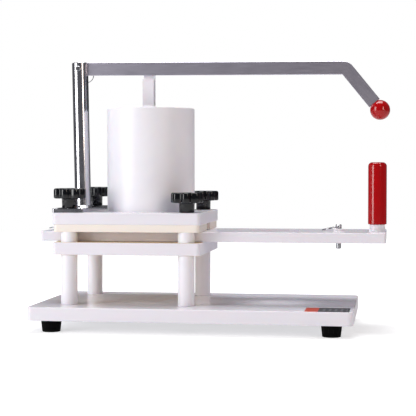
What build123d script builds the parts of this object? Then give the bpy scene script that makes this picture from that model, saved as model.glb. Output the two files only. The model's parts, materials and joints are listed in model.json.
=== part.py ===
"""Hand lever forming press: a hopper and piston over a sliding mould tray, on a board base."""
import os
from math import cos, radians, sin, sqrt

from build123d import *

os.makedirs("parts", exist_ok=True)

# Driving dimensions, in millimetres. X runs along the tray, Y to the back, Z up.
# The origin is on the table, under the middle of the whole press.
base_length = 480.0
base_depth = 250.0
base_thickness = 20.0
base_x = -24.0
base_corner = 8.0
edge_round = 1.2

foot_height = 18.0
foot_top_radius = 15.5
foot_bottom_radius = 13.4
foot_inset = 32.0
foot_inset_depth = 24.0
foot_recess_radius = 6.5
foot_recess_depth = 10.0
foot_screw_radius = 2.5
foot_screw_bite = 12.0

leg_radius = 12.5
leg_height = 75.0
plate_width = 225.0
plate_depth = 188.0
plate_x = base_x - 98.5
plate_y = 8.0
plate_corner = 6.0
plate_inset_x = 23.0
plate_inset_y = 14.0
lower_thickness = 19.0
mid_thickness = 11.0
top_thickness = 18.0
mid_setback = 1.5
notch_width = 34.0
notch_depth = 24.0

tie_radius = 5.0
tie_hole_radius = 5.3
tie_recess_radius = 12.0
tie_recess_depth = 12.0
washer_thickness = 1.6
nut_flats = 17.0
nut_height = 8.0

tray_length = 522.0
tray_width = 132.0
tray_thickness = 15.0
tray_x = base_x + 24.0
tray_gap = 0.3
tray_travel = 194.0
mould_radius = 38.0

hopper_x = base_x - 78.0
hopper_radius = 67.8
bore_radius = 55.0
hopper_height = 158.6
spigot_radius = 61.0
piston_radius = 54.0
piston_thickness = 25.0
piston_rest_gap = 14.0

strip_width = 48.0
strip_thickness = 6.0
strip_x = base_x - 187.0
post_radius = 12.5
post_lean = 1.1
post_slot_width = 7.0
post_slot_depth = 72.0
post_top_rise = 9.8

lever_thickness = 6.0
lever_height = 20.0
lever_slope = 0.45
lever_reach = 409.2
lever_bend = 50.5
lever_drop = 64.5
pivot_x = base_x - 191.0
pivot_z = 398.3
pivot_radius = 4.0
running_clearance = 0.05
ball_radius = 15.0
ball_stand_off = 13.4

rod_x = base_x - 81.0
rod_width = 17.5
rod_depth = 15.0
rod_shoulder = 16.8
rod_length = 182.0
rod_round_radius = 12.5
rod_foot_thickness = 12.0
foot_slot_play = 3.2
foot_slot_radius = 4.9
clevis_shift = 3.7

knob_radius = 24.5
knob_lobes = 7
knob_head = 15.5
knob_stem = 14.5
knob_stem_radius = 11.7
knob_gap = 0.3
insert_radius = 8.0

pin_radius = 4.0
pin_stub = 12.0
pin_head_radius = 4.5
pin_head_height = 6.0
collar_radius = 7.5
collar_height = 3.6
stop_gap = 1.1
ring_radius = 12.9
ring_wire = 1.1
ring_hole_radius = 1.8
ring_rest_angle = 12.5

grip_radius = 14.0
grip_height = 94.0
grip_x = base_x + 271.4
spacer_radius = 11.5
spacer_height = 10.2
spacer_flange_radius = 12.6
spacer_flange_height = 3.2

# Levels and places that follow from the dimensions above.
base_top = foot_height + base_thickness
lower_z = base_top + leg_height
channel_z = lower_z + lower_thickness
tray_z = channel_z + tray_gap
tray_top = tray_z + tray_thickness
mid_z = tray_top + tray_gap
top_z = mid_z + mid_thickness
plates_top = top_z + top_thickness
strip_top = plates_top + strip_thickness
plate_left = plate_x - plate_width / 2
plate_right = plate_x + plate_width / 2
leg_dx = plate_width / 2 - plate_inset_x
leg_dy = plate_depth / 2 - plate_inset_y
left_x = plate_x - leg_dx
right_x = plate_x + leg_dx
front_y = plate_y - leg_dy
rear_y = plate_y + leg_dy
hopper_top = plates_top + hopper_height
left_pin_x = plate_left - pin_radius - stop_gap
right_pin_x = plate_right + pin_radius + stop_gap + tray_travel
mould_x = hopper_x + tray_travel
rod_pin_z = pivot_z - (rod_x - pivot_x) * sin(radians(lever_slope))
rod_foot_z = rod_pin_z - rod_length
foot_dx = base_length / 2 - foot_inset
foot_dy = base_depth / 2 - foot_inset_depth

corner_spots = {
    "front_left": (left_x, front_y, strip_top),
    "front_right": (right_x, front_y, plates_top),
    "rear_left": (left_x, rear_y, strip_top),
    "rear_right": (right_x, rear_y, plates_top),
}
tie_spots = [(x, y) for x, y, seat in corner_spots.values()]


def finish(part, name):
    """Label a finished piece and write its STEP file."""
    part.label = name
    export_step(part, f"parts/{name}.step")


def half_sagitta(radius, half_chord):
    """Half of a ring's bow along a straight hole, which centres the ring's wire in the hole."""
    return (radius - sqrt(radius**2 - half_chord**2)) / 2


def ring(name, head_x, head_z):
    """Split ring through a stop pin's head, lying down to the left."""
    reach = ring_radius - half_sagitta(ring_radius, pin_head_radius)
    tilt = radians(ring_rest_angle)
    centre = (head_x - reach * cos(tilt), plate_y, head_z - reach * sin(tilt))
    with BuildPart() as split_ring:
        with BuildSketch(Plane(centre, x_dir=(0, 1, 0), z_dir=(-cos(tilt), 0, -sin(tilt)))):
            with Locations((ring_radius, 0)):
                Circle(ring_wire)
        revolve(axis=Axis(centre, (sin(tilt), 0, -cos(tilt))))
    finish(split_ring.part, name)


# Base board, with a recess under each tie rod for its washer and nut, and the feet's screw holes.
with BuildPart() as base_board:
    with BuildSketch(Plane.XY.offset(foot_height)):
        with Locations((base_x, 0)):
            RectangleRounded(base_length, base_depth, base_corner)
    extrude(amount=base_thickness)
    fillet(base_board.faces().sort_by(Axis.Z)[-1].edges(), edge_round)
    fillet(base_board.faces().sort_by(Axis.Z)[0].edges(), edge_round)
    with BuildSketch(Plane.XY.offset(foot_height)):
        with Locations(*tie_spots):
            Circle(tie_recess_radius)
    extrude(amount=tie_recess_depth, mode=Mode.SUBTRACT)
    with BuildSketch(Plane.XY.offset(foot_height)):
        with Locations(*tie_spots):
            Circle(tie_hole_radius)
    extrude(amount=base_thickness, mode=Mode.SUBTRACT)
    with BuildSketch(Plane.XY.offset(foot_height)):
        with Locations((base_x, 0)):
            with GridLocations(2 * foot_dx, 2 * foot_dy, 2, 2):
                Circle(foot_screw_radius)
    extrude(amount=foot_screw_bite, mode=Mode.SUBTRACT)
finish(base_board.part, "base_board")

# Rubber feet: tapered, with a recess below for the screw head.
foot_edge_round = 1.0
with BuildPart() as rubber_feet:
    with Locations((base_x, 0, 0)):
        with GridLocations(2 * foot_dx, 2 * foot_dy, 2, 2):
            Cone(foot_bottom_radius, foot_top_radius, foot_height,
                 align=(Align.CENTER, Align.CENTER, Align.MIN))
    fillet(rubber_feet.faces().filter_by(Axis.Z).edges(), foot_edge_round)
    with BuildSketch():
        with Locations((base_x, 0)):
            with GridLocations(2 * foot_dx, 2 * foot_dy, 2, 2):
                Circle(foot_recess_radius)
    extrude(amount=foot_recess_depth, mode=Mode.SUBTRACT)
    with BuildSketch():
        with Locations((base_x, 0)):
            with GridLocations(2 * foot_dx, 2 * foot_dy, 2, 2):
                Circle(foot_screw_radius)
    extrude(amount=foot_height, mode=Mode.SUBTRACT)
finish(rubber_feet.part, "rubber_feet")

# Foot screws: pan heads in the feet, shanks cut into the board.
screw_head_radius = 5.0
screw_head_height = 3.5
screw_head_round = 1.2
with BuildPart() as foot_screws:
    with BuildSketch(Plane.XY.offset(foot_recess_depth - screw_head_height)):
        with Locations((base_x, 0)):
            with GridLocations(2 * foot_dx, 2 * foot_dy, 2, 2):
                Circle(screw_head_radius)
    extrude(amount=screw_head_height)
    fillet(foot_screws.faces().sort_by(Axis.Z)[0:4].edges(), screw_head_round)
    with BuildSketch(Plane.XY.offset(foot_recess_depth)):
        with Locations((base_x, 0)):
            with GridLocations(2 * foot_dx, 2 * foot_dy, 2, 2):
                Circle(foot_screw_radius)
    extrude(amount=foot_height - foot_recess_depth + foot_screw_bite)
finish(foot_screws.part, "foot_screws")

# Legs under the lower plate and spacer sleeves above it, all bored for the tie rods.
leg_chamfer = 0.6
for corner, (x, y, seat) in corner_spots.items():
    with BuildPart() as leg:
        with Locations((x, y, base_top)):
            Cylinder(leg_radius, leg_height, align=(Align.CENTER, Align.CENTER, Align.MIN))
            Cylinder(tie_hole_radius, leg_height, align=(Align.CENTER, Align.CENTER, Align.MIN),
                     mode=Mode.SUBTRACT)
        chamfer(leg.edges().filter_by(GeomType.CIRCLE).group_by(SortBy.RADIUS)[-1], leg_chamfer)
    finish(leg.part, f"{corner}_leg")
    with BuildPart() as sleeve:
        with Locations((x, y, channel_z)):
            Cylinder(leg_radius, mid_z - channel_z, align=(Align.CENTER, Align.CENTER, Align.MIN))
            Cylinder(tie_hole_radius, mid_z - channel_z,
                     align=(Align.CENTER, Align.CENTER, Align.MIN), mode=Mode.SUBTRACT)
    finish(sleeve.part, f"{corner}_spacer")

# Lower plate: the floor under the tray and its moulds.
with BuildPart() as lower_plate:
    with BuildSketch(Plane.XY.offset(lower_z)):
        with Locations((plate_x, plate_y)):
            RectangleRounded(plate_width, plate_depth, plate_corner)
    extrude(amount=lower_thickness)
    fillet(lower_plate.faces().filter_by(Axis.Z).edges(), edge_round)
    with BuildSketch(Plane.XY.offset(lower_z)):
        with Locations(*tie_spots):
            Circle(tie_hole_radius)
    extrude(amount=lower_thickness, mode=Mode.SUBTRACT)
finish(lower_plate.part, "lower_plate")

# Mid plate: the tray's roof, with the feed hole that the piston presses through, and a notch in
# each end that the stop pins' collars and rings run into.
feed_chamfer = 2.0
notch_corner = 5.0
with BuildPart() as mid_plate:
    with BuildSketch(Plane.XY.offset(mid_z)):
        with Locations((plate_x, plate_y)):
            RectangleRounded(plate_width - 2 * mid_setback, plate_depth - 2 * mid_setback, plate_corner)
        with Locations((hopper_x, plate_y)):
            Circle(mould_radius, mode=Mode.SUBTRACT)
        with Locations(*tie_spots):
            Circle(tie_hole_radius, mode=Mode.SUBTRACT)
        with Locations((plate_left, plate_y), (plate_right, plate_y)):
            RectangleRounded(2 * notch_depth, notch_width, notch_corner, mode=Mode.SUBTRACT)
    extrude(amount=mid_thickness)
    feed_edges = mid_plate.edges().filter_by(GeomType.CIRCLE).group_by(SortBy.RADIUS)[-1]
    chamfer(feed_edges.sort_by(Axis.Z)[-1], feed_chamfer)
finish(mid_plate.part, "mid_plate")

# Top plate: holds the hopper's spigot.
with BuildPart() as top_plate:
    with BuildSketch(Plane.XY.offset(top_z)):
        with Locations((plate_x, plate_y)):
            RectangleRounded(plate_width, plate_depth, plate_corner)
    extrude(amount=top_thickness)
    fillet(top_plate.faces().filter_by(Axis.Z).edges(), edge_round)
    with BuildSketch(Plane.XY.offset(top_z)):
        with Locations((hopper_x, plate_y)):
            Circle(spigot_radius + running_clearance)
        with Locations(*tie_spots):
            Circle(tie_hole_radius)
    extrude(amount=top_thickness, mode=Mode.SUBTRACT)
finish(top_plate.part, "top_plate")

# Hopper: a turned cylinder whose shoulder stands on the top plate and whose spigot reaches the mid plate.
hopper_round = 1.6
with BuildPart() as hopper:
    with BuildSketch(Plane.XZ.offset(-plate_y)):
        with BuildLine():
            Polyline(
                (hopper_x + bore_radius, top_z),
                (hopper_x + spigot_radius, top_z),
                (hopper_x + spigot_radius, plates_top),
                (hopper_x + hopper_radius, plates_top),
                (hopper_x + hopper_radius, hopper_top),
                (hopper_x + bore_radius, hopper_top),
                close=True,
            )
        make_face()
    revolve(axis=Axis((hopper_x, plate_y, 0), (0, 0, 1)))
    fillet(hopper.faces().sort_by(Axis.Z)[-1].edges(), hopper_round)
finish(hopper.part, "hopper")

# Tie rods, from the nuts under the base up into the knobs.
tie_nut_z = foot_height + tie_recess_depth - washer_thickness - nut_height
tie_engage = 20.0
tie_tail = 1.0
tie_chamfer = 0.8
with BuildPart() as tie_rods:
    for x, y, seat in corner_spots.values():
        with Locations((x, y, tie_nut_z - tie_tail)):
            Cylinder(tie_radius, seat + tie_engage - tie_nut_z + tie_tail,
                     align=(Align.CENTER, Align.CENTER, Align.MIN))
    chamfer(tie_rods.edges().filter_by(GeomType.CIRCLE), tie_chamfer)
finish(tie_rods.part, "tie_rods")

washer_radius = 10.5
with BuildPart() as tie_rod_washers:
    with BuildSketch(Plane.XY.offset(foot_height + tie_recess_depth - washer_thickness)):
        with Locations(*tie_spots):
            Circle(washer_radius)
            Circle(tie_hole_radius, mode=Mode.SUBTRACT)
    extrude(amount=washer_thickness)
finish(tie_rod_washers.part, "tie_rod_washers")

with BuildPart() as tie_rod_nuts:
    with BuildSketch(Plane.XY.offset(tie_nut_z)):
        with Locations(*tie_spots):
            RegularPolygon(nut_flats / 2, 6, major_radius=False)
            Circle(tie_radius, mode=Mode.SUBTRACT)
    extrude(amount=nut_height)
finish(tie_rod_nuts.part, "tie_rod_nuts")

# Star knobs, each moulded round a threaded steel insert.
insert_height = 22.0
lobe_radius = 5.5
lobe_rise = 4.0
knob_round = 2.0
for corner, (x, y, seat) in corner_spots.items():
    knob_z = seat + knob_gap
    with BuildPart() as knob_insert:
        with BuildSketch(Plane.XY.offset(knob_z)):
            with Locations((x, y)):
                Circle(insert_radius)
                Circle(tie_radius + running_clearance, mode=Mode.SUBTRACT)
        extrude(amount=insert_height)
    finish(knob_insert.part, f"{corner}_knob_insert")
    with BuildPart() as knob:
        with BuildSketch(Plane.XY.offset(knob_z)):
            with Locations((x, y)):
                Circle(knob_stem_radius)
        extrude(amount=knob_stem)
        with BuildSketch(Plane.XY.offset(knob_z + knob_stem)):
            with Locations((x, y)):
                Circle(knob_radius - lobe_rise)
                with PolarLocations(knob_radius - lobe_radius, knob_lobes):
                    Circle(lobe_radius)
        extrude(amount=knob_head)
        head_faces = knob.faces().filter_by(Axis.Z).sort_by(Axis.Z)
        fillet(head_faces[-1].edges(), knob_round)
        with Locations((x, y, knob_z)):
            Cylinder(insert_radius, insert_height, align=(Align.CENTER, Align.CENTER, Align.MIN),
                     mode=Mode.SUBTRACT)
    finish(knob.part, f"{corner}_knob")

# Steel strip under the two left knobs, which carries the post.
strip_corner = 3.0
strip_chamfer = 0.6
with BuildPart() as post_strip:
    with BuildSketch(Plane.XY.offset(plates_top)):
        with Locations((strip_x, plate_y)):
            RectangleRounded(strip_width, plate_depth, strip_corner)
        with Locations((left_x, front_y), (left_x, rear_y)):
            Circle(tie_hole_radius, mode=Mode.SUBTRACT)
    extrude(amount=strip_thickness)
    chamfer(post_strip.faces().sort_by(Axis.Z)[-1].edges(), strip_chamfer)
finish(post_strip.part, "post_strip")

# Post: a polished bar that leans a little to the left, slotted from the top for the lever.
post_top_z = pivot_z + post_top_rise
weld_size = 2.5
post_round = 1.5
cut_margin = 5.0
post_axis = Plane((pivot_x, plate_y, pivot_z), x_dir=(cos(radians(post_lean)), 0, sin(radians(post_lean))),
                  z_dir=(-sin(radians(post_lean)), 0, cos(radians(post_lean))))
with BuildPart() as post:
    with BuildSketch(post_axis.offset(strip_top - pivot_z - cut_margin)):
        Circle(post_radius)
    extrude(amount=post_top_z - strip_top + cut_margin)
    fillet(post.faces().sort_by(Axis.Z)[-1].edges(), post_round)
    foot_x = pivot_x + (pivot_z - strip_top) * sin(radians(post_lean))
    with Locations((foot_x, plate_y, strip_top)):
        Cone(post_radius + weld_size, post_radius, weld_size,
             align=(Align.CENTER, Align.CENTER, Align.MIN))
    split(bisect_by=Plane.XY.offset(strip_top), keep=Keep.TOP)
    with BuildSketch(post_axis.offset(post_top_rise - post_slot_depth)):
        with Locations((0, 0)):
            Rectangle(3 * post_radius, post_slot_width)
    extrude(amount=post_slot_depth + cut_margin, mode=Mode.SUBTRACT)
    with Locations(Location((pivot_x, plate_y, pivot_z), (90, 0, 0))):
        Cylinder(pivot_radius + running_clearance, 3 * post_radius, mode=Mode.SUBTRACT)
finish(post.part, "post")

# Pivot pin: pushed in from the back, with a flanged head that holds its ring.
pin_nose = 2.0
pin_chamfer = 0.8
head_gap = 0.5
pin_front = post_radius + pin_nose
pin_back = post_radius + head_gap
pivot_head_length = 7.5
pivot_head_radius = 5.0
pivot_ring_turn = 35.0
pivot_hole_depth = 4.5
pivot_hole_y = plate_y + pin_back + pivot_hole_depth
with BuildPart() as pivot_pin:
    with BuildSketch(Plane.XZ.offset(pin_front - plate_y)):
        with Locations((pivot_x, pivot_z)):
            Circle(pivot_radius)
    extrude(amount=-(pin_front + pin_back))
    with BuildSketch(Plane.XZ.offset(-pin_back - plate_y)):
        with Locations((pivot_x, pivot_z)):
            Circle(pivot_head_radius)
    extrude(amount=-pivot_head_length)
    chamfer(pivot_pin.faces().filter_by(Axis.Y).edges().group_by(Axis.Y)[0], pin_chamfer)
    chamfer(pivot_pin.faces().filter_by(Axis.Y).edges().group_by(Axis.Y)[-1], pin_chamfer)
    with Locations(Location((pivot_x, pivot_hole_y, pivot_z), (0, 90 - pivot_ring_turn, 0))):
        Cylinder(ring_hole_radius, 4 * pivot_head_radius, mode=Mode.SUBTRACT)
finish(pivot_pin.part, "pivot_pin")

pivot_ring_radius = 11.2
pivot_ring_reach = pivot_ring_radius - half_sagitta(pivot_ring_radius, pivot_head_radius)
with BuildPart() as pivot_ring:
    ring_centre_x = pivot_x + pivot_ring_reach * sin(radians(pivot_ring_turn))
    ring_centre_z = pivot_z - pivot_ring_reach * cos(radians(pivot_ring_turn))
    with BuildSketch(Plane.XY.offset(ring_centre_z)):
        with Locations((ring_centre_x + pivot_ring_radius, pivot_hole_y)):
            Circle(ring_wire)
    revolve(axis=Axis((ring_centre_x, pivot_hole_y, ring_centre_z), (0, 1, 0)))
finish(pivot_ring.part, "pivot_ring")

# Lever: a flat bar from the post over the hopper, bent down to the ball. Its own plane has its
# origin at the pivot, X along the bar and Y up across it.
slope = radians(lever_slope)
bend = radians(lever_bend)
half_height = lever_height / 2
lever_tail = 11.0
lever_tail_round = 3.0
lever_chamfer = 0.5
lever_plane = Plane((pivot_x, plate_y, pivot_z), x_dir=(cos(slope), 0, -sin(slope)), z_dir=(0, -1, 0))
drop_end = (lever_reach + lever_drop * cos(bend), -half_height - lever_drop * sin(bend))
across = (lever_height * sin(bend), lever_height * cos(bend))
with BuildPart() as lever_bar:
    with BuildSketch(lever_plane.offset(-lever_thickness / 2)):
        with BuildLine():
            Polyline(
                (lever_reach, half_height),
                (-lever_tail, half_height),
                (-lever_tail, -half_height),
                (lever_reach, -half_height),
                drop_end,
                (drop_end[0] + across[0], drop_end[1] + across[1]),
                (lever_reach + across[0], -half_height + across[1]),
            )
            CenterArc((lever_reach, -half_height), lever_height, 90 - lever_bend, lever_bend)
        make_face()
        Circle(pivot_radius + running_clearance, mode=Mode.SUBTRACT)
        with Locations(((rod_x - pivot_x) / cos(slope), 0)):
            Circle(pivot_radius, mode=Mode.SUBTRACT)
    extrude(amount=lever_thickness)
    fillet(lever_bar.edges().filter_by(Axis.Y).group_by(Axis.X)[0], lever_tail_round)
    chamfer(lever_bar.faces().filter_by(Axis.Y).sort_by(Axis.Y)[0].outer_wire().edges(), lever_chamfer)
    chamfer(lever_bar.faces().filter_by(Axis.Y).sort_by(Axis.Y)[-1].outer_wire().edges(), lever_chamfer)
finish(lever_bar.part, "lever_bar")

# Ball, bored for its stud, with a flat where it meets the bar's end.
drop_angle = bend + slope
ball_centre = lever_plane.from_local_coords(
    (drop_end[0] + across[0] / 2 + ball_stand_off * cos(bend),
     drop_end[1] + across[1] / 2 - ball_stand_off * sin(bend), 0))
drop_plane = Plane(ball_centre, x_dir=(0, 1, 0), z_dir=(-cos(drop_angle), 0, sin(drop_angle)))
stud_radius = 3.0
stud_in_ball = 7.0
with BuildPart() as lever_ball:
    with Locations(ball_centre):
        Sphere(ball_radius)
    split(bisect_by=drop_plane.offset(ball_stand_off), keep=Keep.BOTTOM)
    with BuildSketch(drop_plane.offset(-stud_in_ball)):
        Circle(stud_radius)
    extrude(amount=stud_in_ball + ball_stand_off, mode=Mode.SUBTRACT)
finish(lever_ball.part, "lever_ball")

with BuildPart() as ball_stud:
    with BuildSketch(drop_plane.offset(-stud_in_ball)):
        Circle(stud_radius)
    extrude(amount=stud_in_ball + ball_stand_off)
finish(ball_stud.part, "ball_stud")

# Push rod: square above the hopper, round inside it, with a tongue behind the lever.
side_gap = 0.3
flare_gap = 1.5
rod_corner = 1.0
flat_margin = 4.0
tongue_front = lever_thickness / 2 + side_gap
shoulder_z = rod_pin_z - rod_shoulder
flare_z = hopper_top + flare_gap
flare_height = 4.0
with BuildPart() as push_rod:
    with BuildSketch(Plane.XY.offset(flare_z + flare_height)):
        with Locations((rod_x, plate_y)):
            Rectangle(rod_width, rod_depth)
    extrude(amount=shoulder_z - flare_z - flare_height)
    with BuildSketch(Plane.XY.offset(flare_z)):
        with Locations((rod_x, plate_y)):
            Circle(rod_round_radius)
    with BuildSketch(Plane.XY.offset(flare_z + flare_height)):
        with Locations((rod_x, plate_y)):
            RectangleRounded(rod_width, rod_depth, rod_corner)
    loft()
    with BuildSketch(Plane.XY.offset(rod_foot_z - rod_round_radius)):
        with Locations((rod_x, plate_y)):
            Circle(rod_round_radius)
    extrude(amount=flare_z - rod_foot_z + rod_round_radius)
    with BuildSketch(Plane.XZ.offset(-plate_y - tongue_front)):
        with BuildLine():
            Polyline(
                (rod_x - rod_width / 2, rod_pin_z),
                (rod_x - rod_width / 2, shoulder_z),
                (rod_x + rod_width / 2, shoulder_z),
                (rod_x + rod_width / 2, rod_pin_z),
            )
            CenterArc((rod_x, rod_pin_z), rod_width / 2, 0, 180)
        make_face()
    extrude(amount=-(rod_depth / 2 - tongue_front))
    with Locations(Location((rod_x, plate_y, rod_pin_z), (90, 0, 0))):
        Cylinder(pivot_radius + running_clearance, 2 * rod_depth, mode=Mode.SUBTRACT)
    foot_flat = rod_round_radius - rod_foot_thickness / 2
    flat_height = 2 * rod_round_radius + flat_margin
    for side in (-1, 1):
        with Locations((rod_x, plate_y + side * (rod_foot_thickness + foot_flat) / 2,
                        rod_foot_z - rod_round_radius)):
            Box(3 * rod_round_radius, foot_flat, flat_height,
                align=(Align.CENTER, Align.CENTER, Align.MIN), mode=Mode.SUBTRACT)
    with BuildSketch(Plane.XZ.offset(rod_round_radius - plate_y)):
        with Locations((rod_x, rod_foot_z - rod_round_radius / 2)):
            Rectangle(3 * rod_round_radius, rod_round_radius)
        with Locations((rod_x, rod_foot_z)):
            Circle(rod_round_radius, mode=Mode.SUBTRACT)
    extrude(amount=-2 * rod_round_radius, mode=Mode.SUBTRACT)
    with BuildSketch(Plane.XZ.offset(rod_round_radius - plate_y)):
        with Locations((rod_x, rod_foot_z)):
            SlotCenterToCenter(2 * foot_slot_play, 2 * foot_slot_radius)
    extrude(amount=-2 * rod_round_radius, mode=Mode.SUBTRACT)
finish(push_rod.part, "push_rod")

# Rod pin: fixed flush in the lever, with a washer and nut behind the tongue.
tongue_back = rod_depth / 2 + side_gap
rod_washer_thickness = 1.5
rod_nut_height = 5.0
rod_nut_half_flats = 6.5
rod_pin_tail = 1.0
with BuildPart() as rod_pin:
    with BuildSketch(Plane.XZ.offset(lever_thickness / 2 - plate_y)):
        with Locations((rod_x, rod_pin_z)):
            Circle(pivot_radius)
    extrude(amount=-(lever_thickness / 2 + tongue_back + rod_washer_thickness + rod_nut_height + rod_pin_tail))
finish(rod_pin.part, "rod_pin")

with BuildPart() as rod_washer:
    with BuildSketch(Plane.XZ.offset(-plate_y - tongue_back)):
        with Locations((rod_x, rod_pin_z)):
            Circle(2 * pivot_radius)
            Circle(pivot_radius, mode=Mode.SUBTRACT)
    extrude(amount=-rod_washer_thickness)
finish(rod_washer.part, "rod_washer")

with BuildPart() as rod_nut:
    with BuildSketch(Plane.XZ.offset(-plate_y - tongue_back - rod_washer_thickness)):
        with Locations((rod_x, rod_pin_z)):
            RegularPolygon(rod_nut_half_flats, 6, major_radius=False)
            Circle(pivot_radius, mode=Mode.SUBTRACT)
    extrude(amount=-rod_nut_height)
finish(rod_nut.part, "rod_nut")

# Piston, and the clevis on it that the rod's foot is pinned to. The clevis stands a little left
# of the middle, so that the rod's sideways swing is shared about it.
piston_z = top_z + piston_rest_gap
clevis_x = hopper_x - clevis_shift
clevis_base = 4.0
clevis_base_width = 56.0
clevis_depth = 29.6
lug_width = 22.0
screw_offset = 22.5
clevis_screw_radius = 2.5
clevis_screw_length = 16.0
clevis_corner = 4.0
cap_head_radius = 4.25
cap_head_height = 4.5
hex_half_flats = 2.0
piston_round = 1.5
foot_side_gap = 0.4
lug_gap = rod_foot_thickness + 2 * foot_side_gap
pin_end = 1.0
piston_top = piston_z + piston_thickness
with BuildPart() as piston:
    with BuildSketch(Plane.XY.offset(piston_z)):
        with Locations((hopper_x, plate_y)):
            Circle(piston_radius)
    extrude(amount=piston_thickness)
    chamfer(piston.edges().sort_by(Axis.Z)[0], piston_round)
    fillet(piston.faces().sort_by(Axis.Z)[-1].edges(), piston_round)
    with BuildSketch(Plane.XY.offset(piston_top - clevis_screw_length)):
        with Locations((clevis_x - screw_offset, plate_y), (clevis_x + screw_offset, plate_y)):
            Circle(clevis_screw_radius)
    extrude(amount=clevis_screw_length, mode=Mode.SUBTRACT)
finish(piston.part, "piston")

with BuildPart() as piston_clevis:
    with BuildSketch(Plane.XY.offset(piston_top)):
        with Locations((clevis_x, plate_y)):
            RectangleRounded(clevis_base_width, clevis_depth, clevis_corner)
        with Locations((clevis_x - screw_offset, plate_y), (clevis_x + screw_offset, plate_y)):
            Circle(clevis_screw_radius, mode=Mode.SUBTRACT)
    extrude(amount=clevis_base)
    with BuildSketch(Plane.XZ.offset(clevis_depth / 2 - plate_y)):
        with Locations((clevis_x, (rod_foot_z + piston_top) / 2)):
            Rectangle(lug_width, rod_foot_z - piston_top)
        with Locations((clevis_x, rod_foot_z)):
            Circle(lug_width / 2)
    extrude(amount=-clevis_depth)
    with Locations((clevis_x, plate_y, piston_top + clevis_base)):
        Box(2 * lug_width, lug_gap, 3 * lug_width, align=(Align.CENTER, Align.CENTER, Align.MIN),
            mode=Mode.SUBTRACT)
    with Locations(Location((clevis_x, plate_y, rod_foot_z), (90, 0, 0))):
        Cylinder(pivot_radius, 2 * clevis_depth, mode=Mode.SUBTRACT)
finish(piston_clevis.part, "piston_clevis")

with BuildPart() as piston_pin:
    with BuildSketch(Plane.XZ.offset(clevis_depth / 2 + pin_end - plate_y)):
        with Locations((clevis_x, rod_foot_z)):
            Circle(pivot_radius)
    extrude(amount=-(clevis_depth + 2 * pin_end))
finish(piston_pin.part, "piston_pin")

with BuildPart() as clevis_screws:
    with BuildSketch(Plane.XY.offset(piston_top + clevis_base - clevis_screw_length)):
        with Locations((clevis_x - screw_offset, plate_y), (clevis_x + screw_offset, plate_y)):
            Circle(clevis_screw_radius)
    extrude(amount=clevis_screw_length)
    with BuildSketch(Plane.XY.offset(piston_top + clevis_base)):
        with Locations((clevis_x - screw_offset, plate_y), (clevis_x + screw_offset, plate_y)):
            Circle(cap_head_radius)
            RegularPolygon(hex_half_flats, 6, major_radius=False, mode=Mode.SUBTRACT)
    extrude(amount=cap_head_height)
finish(clevis_screws.part, "clevis_screws")

# Sliding tray with its mould hole, two stop pin holes and the grip's bolt hole.
grip_bolt_radius = 4.0
bolt_recess_radius = 8.0
bolt_recess_depth = 6.0
tray_corner = 4.0
with BuildPart() as tray_board:
    with BuildSketch(Plane.XY.offset(tray_z)):
        with Locations((tray_x, plate_y)):
            RectangleRounded(tray_length, tray_width, tray_corner)
    extrude(amount=tray_thickness)
    fillet(tray_board.faces().filter_by(Axis.Z).edges(), edge_round)
    with BuildSketch(Plane.XY.offset(tray_z)):
        with Locations((mould_x, plate_y)):
            Circle(mould_radius)
        with Locations((left_pin_x, plate_y), (right_pin_x, plate_y)):
            Circle(pin_radius + running_clearance)
        with Locations((grip_x, plate_y)):
            Circle(grip_bolt_radius)
    extrude(amount=tray_thickness, mode=Mode.SUBTRACT)
    with BuildSketch(Plane.XY.offset(tray_z)):
        with Locations((grip_x, plate_y)):
            Circle(bolt_recess_radius)
    extrude(amount=bolt_recess_depth, mode=Mode.SUBTRACT)
finish(tray_board.part, "tray_board")

# Stop pins: each drops through a collar on the tray, and its ring lies on the board.
collar_chamfer = 0.8
stub_chamfer = 1.0
head_chamfer = 0.7
head_seat_gap = 0.3
for side, x in (("left", left_pin_x), ("right", right_pin_x)):
    with BuildPart() as collar:
        with BuildSketch(Plane.XY.offset(tray_top)):
            with Locations((x, plate_y)):
                Circle(collar_radius)
                Circle(pin_radius + running_clearance, mode=Mode.SUBTRACT)
        extrude(amount=collar_height)
        rims = collar.edges().filter_by(GeomType.CIRCLE).group_by(SortBy.RADIUS)[-1]
        chamfer(rims.sort_by(Axis.Z)[-1], collar_chamfer)
    finish(collar.part, f"{side}_pin_collar")
    head_z = tray_top + collar_height + head_seat_gap
    hole_z = head_z + pin_head_height / 2
    with BuildPart() as stop_pin:
        with BuildSketch(Plane.XY.offset(tray_z - pin_stub)):
            with Locations((x, plate_y)):
                Circle(pin_radius)
        extrude(amount=head_z - tray_z + pin_stub)
        with BuildSketch(Plane.XY.offset(head_z)):
            with Locations((x, plate_y)):
                Circle(pin_head_radius)
        extrude(amount=pin_head_height)
        chamfer(stop_pin.edges().group_by(Axis.Z)[0], stub_chamfer)
        chamfer(stop_pin.edges().group_by(Axis.Z)[-1], head_chamfer)
        with Locations(Location((x, plate_y, hole_z), (90, 0, 0))):
            Cylinder(ring_hole_radius, 4 * pin_head_radius, mode=Mode.SUBTRACT)
    finish(stop_pin.part, f"{side}_stop_pin")
    ring(f"{side}_pin_ring", x, hole_z)

# Grip on its spacer at the tray's right end, turning on a bolt from below.
grip_gap = 0.3
grip_z = tray_top + spacer_height + grip_gap
with BuildPart() as grip_spacer:
    with BuildSketch(Plane.XY.offset(tray_top)):
        with Locations((grip_x, plate_y)):
            Circle(spacer_radius)
    extrude(amount=spacer_height)
    with BuildSketch(Plane.XY.offset(tray_top)):
        with Locations((grip_x, plate_y)):
            Circle(spacer_flange_radius)
    extrude(amount=spacer_flange_height)
    with Locations((grip_x, plate_y, tray_top)):
        Cylinder(grip_bolt_radius, spacer_height, align=(Align.CENTER, Align.CENTER, Align.MIN),
                 mode=Mode.SUBTRACT)
finish(grip_spacer.part, "grip_spacer")

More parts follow.
